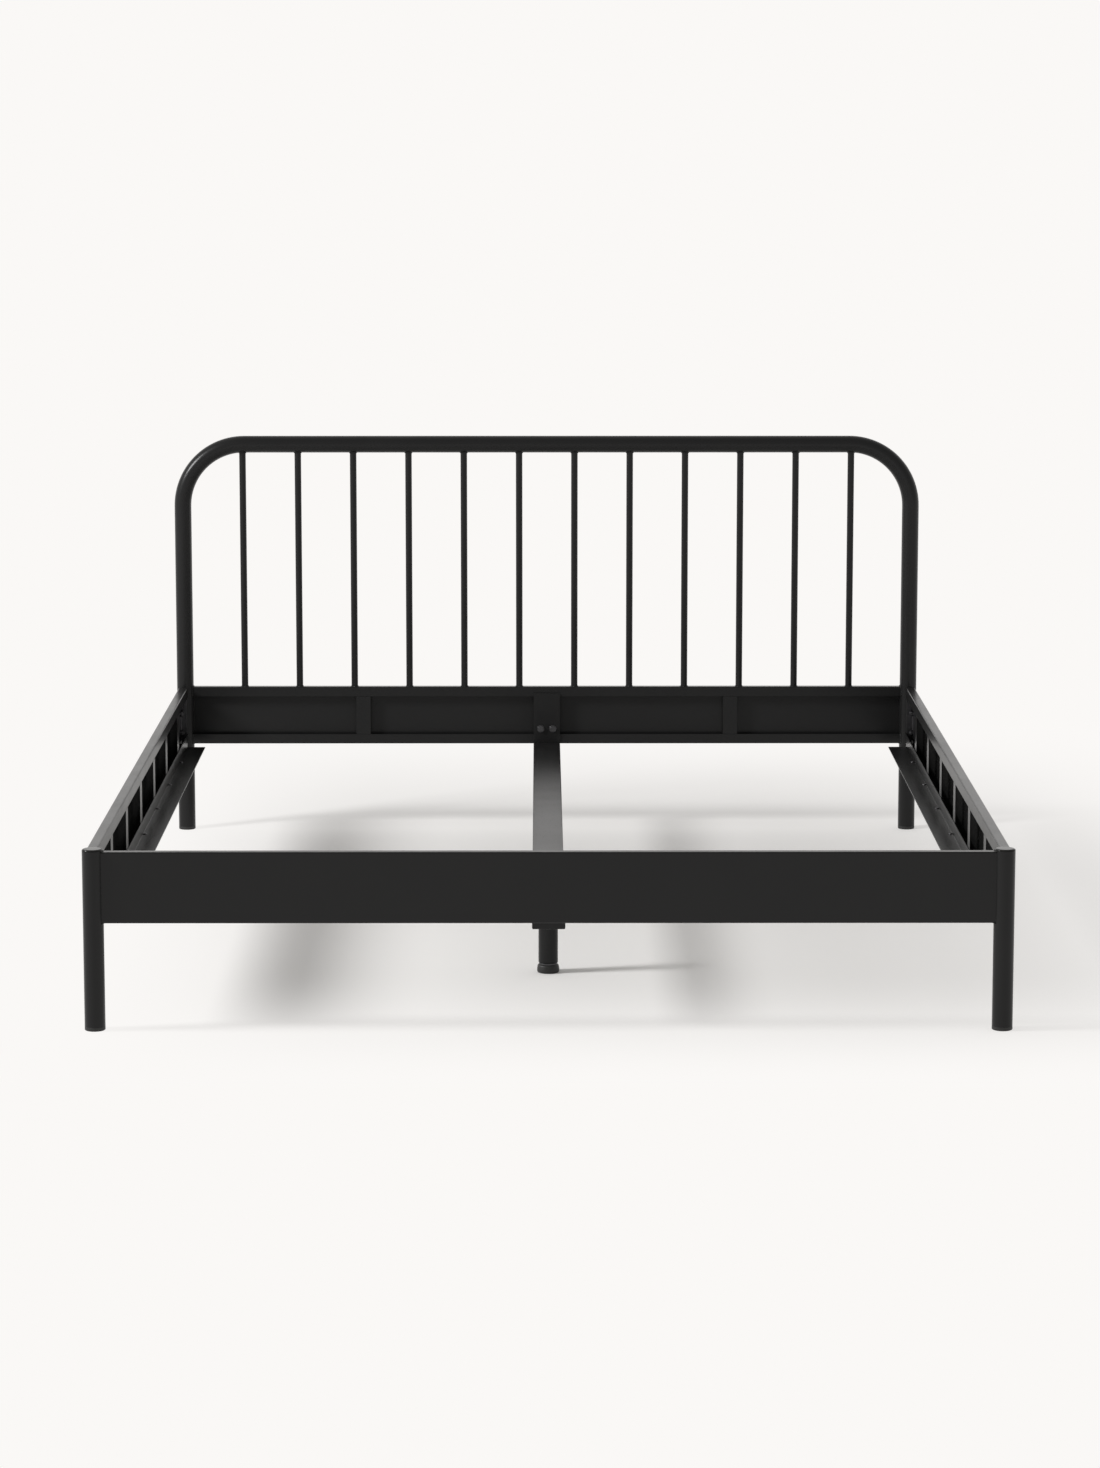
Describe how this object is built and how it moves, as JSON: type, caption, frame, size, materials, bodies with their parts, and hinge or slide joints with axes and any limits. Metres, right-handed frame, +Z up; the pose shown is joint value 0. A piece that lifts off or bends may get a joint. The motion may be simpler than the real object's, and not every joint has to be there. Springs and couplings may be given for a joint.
{
  "type": "bed frame",
  "caption": "Black powder-coated steel bed frame: bent-tube headboard with upright bars, folded rails, slat ledges and a mid beam on levelling legs.",
  "frame": {"origin": "on the floor, under the middle of the frame (centre of the bounding box's bottom)", "axes": "+X across the bed to the right as seen from the foot end, +Y from the foot end to the headboard, +Z up"},
  "size_m": [1.698, 2.078, 0.908],
  "materials": {
    "powder_coat": "black fine-grain powder coat, semi-gloss",
    "black_zinc": "black zinc plating",
    "black_plastic": "moulded black plastic"
  },
  "bodies": {
    "frame": {"beam_bolts_front": "black_zinc", "beam_bolts_rear": "black_zinc", "beam_hanger_front": "powder_coat", "beam_hanger_rear": "powder_coat", "corner_bracket_front_left": "black_zinc", "corner_bracket_front_right": "black_zinc", "corner_bracket_rear_left": "black_zinc", "corner_bracket_rear_right": "black_zinc", "foot_rail": "powder_coat", "foot_rail_nut_bracket": "powder_coat", "front_leg_left": "powder_coat", "front_leg_right": "powder_coat", "head_rail": "powder_coat", "head_rail_batten_left": "powder_coat", "head_rail_batten_right": "powder_coat", "head_rail_nut_bracket": "powder_coat", "headboard_bar_01": "powder_coat", "headboard_bar_02": "powder_coat", "headboard_bar_03": "powder_coat", "headboard_bar_04": "powder_coat", "headboard_bar_05": "powder_coat", "headboard_bar_06": "powder_coat", "headboard_bar_07": "powder_coat", "headboard_bar_08": "powder_coat", "headboard_bar_09": "powder_coat", "headboard_bar_10": "powder_coat", "headboard_bar_11": "powder_coat", "headboard_bar_12": "powder_coat", "headboard_hoop": "powder_coat", "leg_cap_left": "black_plastic", "leg_cap_right": "black_plastic", "leg_glide_front_left": "black_plastic", "leg_glide_front_right": "black_plastic", "leg_glide_rear_left": "black_plastic", "leg_glide_rear_right": "black_plastic", "mid_beam": "powder_coat", "mid_leg_top_plate_front": "powder_coat", "mid_leg_top_plate_rear": "powder_coat", "mid_leg_tube_front": "powder_coat", "mid_leg_tube_rear": "powder_coat", "side_rail_batten_left_1": "powder_coat", "side_rail_batten_left_2": "powder_coat", "side_rail_batten_left_3": "powder_coat", "side_rail_batten_left_4": "powder_coat", "side_rail_batten_left_5": "powder_coat", "side_rail_batten_left_6": "powder_coat", "side_rail_batten_right_1": "powder_coat", "side_rail_batten_right_2": "powder_coat", "side_rail_batten_right_3": "powder_coat", "side_rail_batten_right_4": "powder_coat", "side_rail_batten_right_5": "powder_coat", "side_rail_batten_right_6": "powder_coat", "side_rail_left": "powder_coat", "side_rail_right": "powder_coat", "slat_ledge_left": "powder_coat", "slat_ledge_right": "powder_coat"},
    "front_pad": {"levelling_pad_front": "black_plastic"},
    "front_stud": {"levelling_stud_front": "black_zinc"},
    "rear_pad": {"levelling_pad_rear": "black_plastic"},
    "rear_stud": {"levelling_stud_rear": "black_zinc"}
  },
  "joints": [
    {"name": "front_foot_travel", "type": "slide", "parent": "frame", "child": "front_pad", "axis": [0, 0, -1], "range_m": [0, 0.015]},
    {"name": "front_foot_turn", "type": "hinge", "parent": "front_pad", "child": "front_stud", "pos_m": [0, -0.5275, 0], "axis": [0, 0, -1], "range_deg": [0, 3600]},
    {"name": "rear_foot_travel", "type": "slide", "parent": "frame", "child": "rear_pad", "axis": [0, 0, -1], "range_m": [0, 0.015]},
    {"name": "rear_foot_turn", "type": "hinge", "parent": "rear_pad", "child": "rear_stud", "pos_m": [0, 0.5275, 0], "axis": [0, 0, -1], "range_deg": [0, 3600]}
  ],
  "couplings": [
    {"joint": "front_foot_travel", "follows": "front_foot_turn", "m_per_rad": 0.00023873},
    {"joint": "rear_foot_travel", "follows": "rear_foot_turn", "m_per_rad": 0.00023873}
  ]
}
